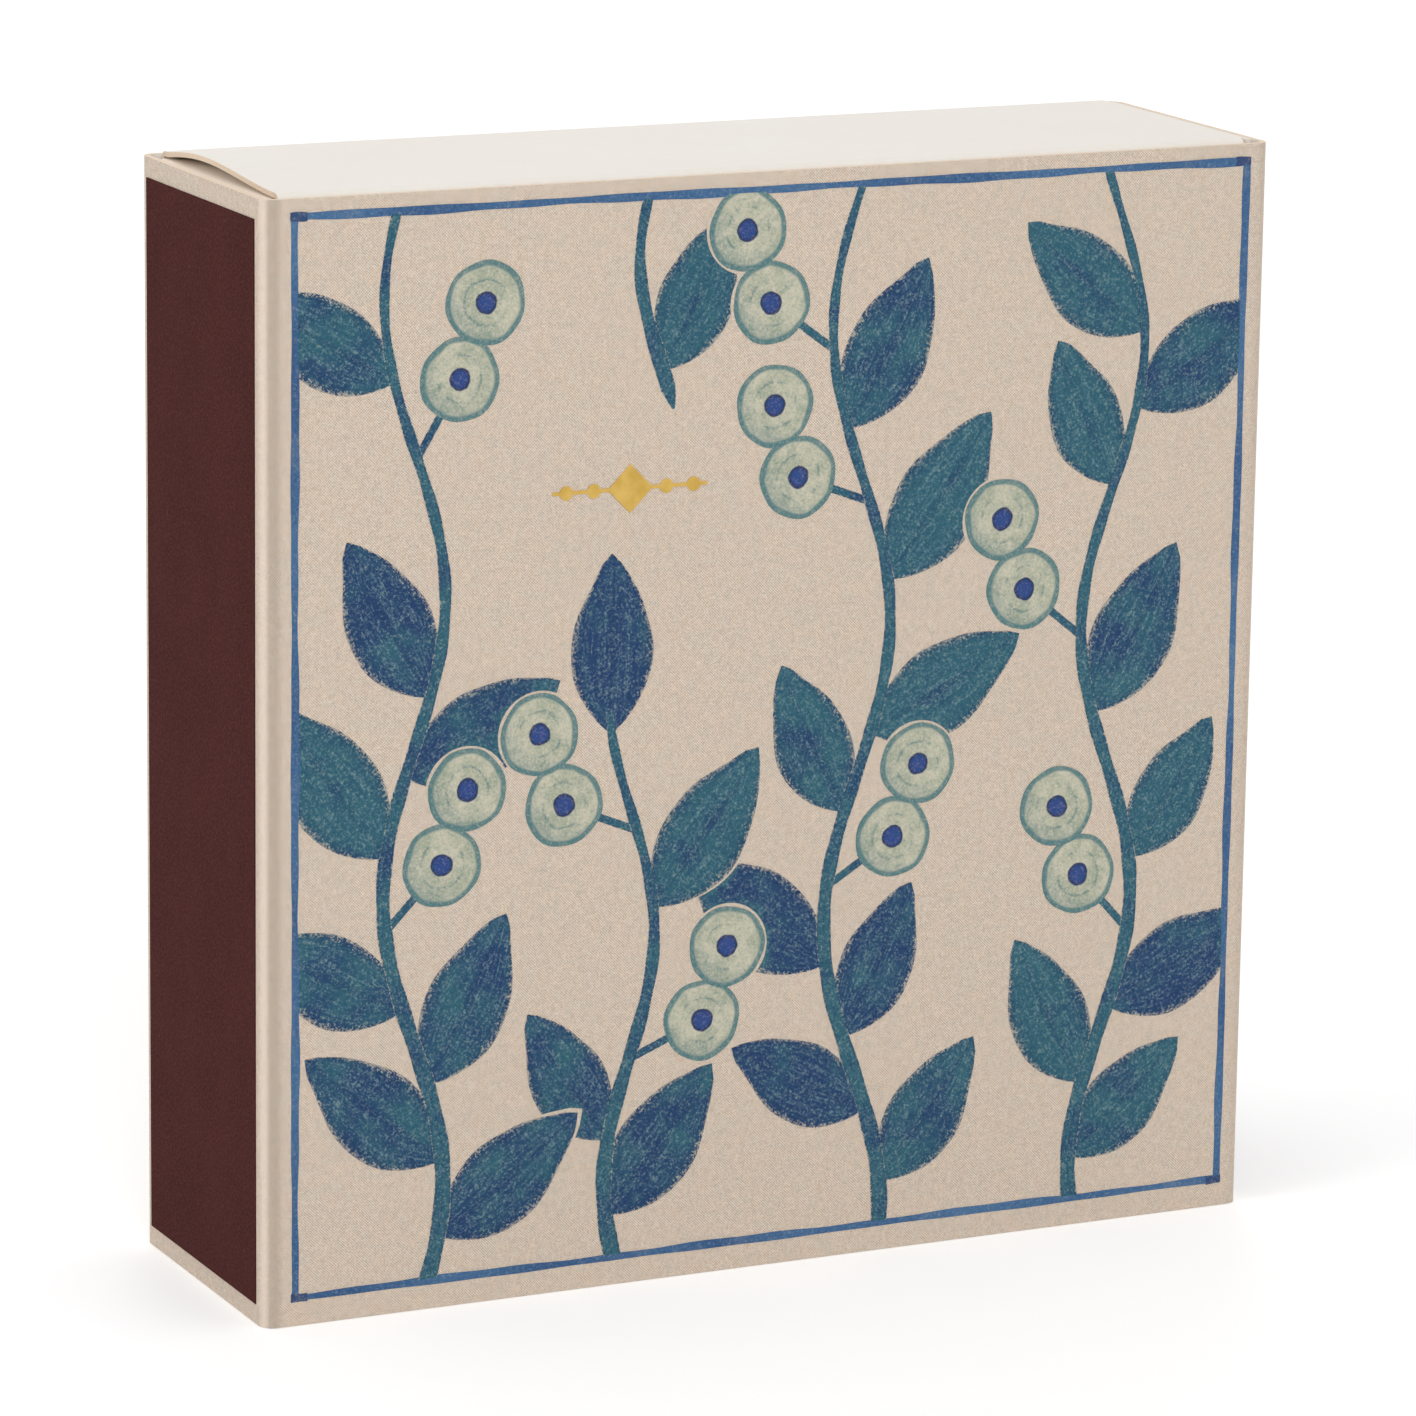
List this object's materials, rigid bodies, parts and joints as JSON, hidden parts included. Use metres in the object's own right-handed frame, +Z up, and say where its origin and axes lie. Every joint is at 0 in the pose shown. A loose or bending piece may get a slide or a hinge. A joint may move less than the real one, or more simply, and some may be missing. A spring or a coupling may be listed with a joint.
{
  "type": "matchbox",
  "caption": "Square matchbox: a printed card sleeve with a striking strip down each narrow side and a folded card tray of long wooden matches that slides out.",
  "frame": {"origin": "middle of the foot that the box stands on, level with the open lower end of the sleeve", "axes": "+Z up the box and along the tray's slide, +X across the front to its right-hand side, -Y out of the printed front"},
  "size_m": [0.1082, 0.0321, 0.1113],
  "materials": {
    "printed_card": "fine linen-textured printed card, matt",
    "tray_card": "plain smooth cream board",
    "striking_strip": "fine grained matt maroon coating",
    "border_ink": "matt drawn ink line",
    "vine_ink": "matt pencil-like print",
    "fruit_ink": "matt pencil-like print",
    "foil": "stamped gold-coloured foil",
    "match_wood": "plain pale softwood with a coloured head"
  },
  "bodies": {
    "sleeve": {"foil_ornament": "foil", "print_border": "border_ink", "print_fruits_1": "fruit_ink", "print_fruits_2": "fruit_ink", "print_fruits_3": "fruit_ink", "print_fruits_4": "fruit_ink", "print_fruits_5": "fruit_ink", "print_fruits_6": "fruit_ink", "print_fruits_7": "fruit_ink", "print_fruits_8": "fruit_ink", "print_fruits_9": "fruit_ink", "print_vine_left": "vine_ink", "print_vine_middle": "vine_ink", "print_vine_right": "vine_ink", "print_vine_short": "vine_ink", "print_vine_upper": "vine_ink", "sleeve": "printed_card", "striker_left": "striking_strip", "striker_right": "striking_strip"},
    "tray": {"match_01": "match_wood", "match_02": "match_wood", "match_03": "match_wood", "match_04": "match_wood", "match_05": "match_wood", "match_06": "match_wood", "match_07": "match_wood", "match_08": "match_wood", "match_09": "match_wood", "match_10": "match_wood", "match_11": "match_wood", "match_12": "match_wood", "match_13": "match_wood", "match_14": "match_wood", "match_15": "match_wood", "match_16": "match_wood", "match_17": "match_wood", "match_18": "match_wood", "match_19": "match_wood", "match_20": "match_wood", "match_21": "match_wood", "match_22": "match_wood", "match_23": "match_wood", "match_24": "match_wood", "match_25": "match_wood", "match_26": "match_wood", "match_27": "match_wood", "match_28": "match_wood", "match_29": "match_wood", "match_30": "match_wood", "match_31": "match_wood", "match_32": "match_wood", "match_33": "match_wood", "match_34": "match_wood", "match_35": "match_wood", "match_bed": "match_wood", "tray": "tray_card"}
  },
  "joints": [
    {"name": "tray_slide", "type": "slide", "parent": "sleeve", "child": "tray", "axis": [0, 0, 1], "range_m": [-0.095, 0.095]}
  ]
}
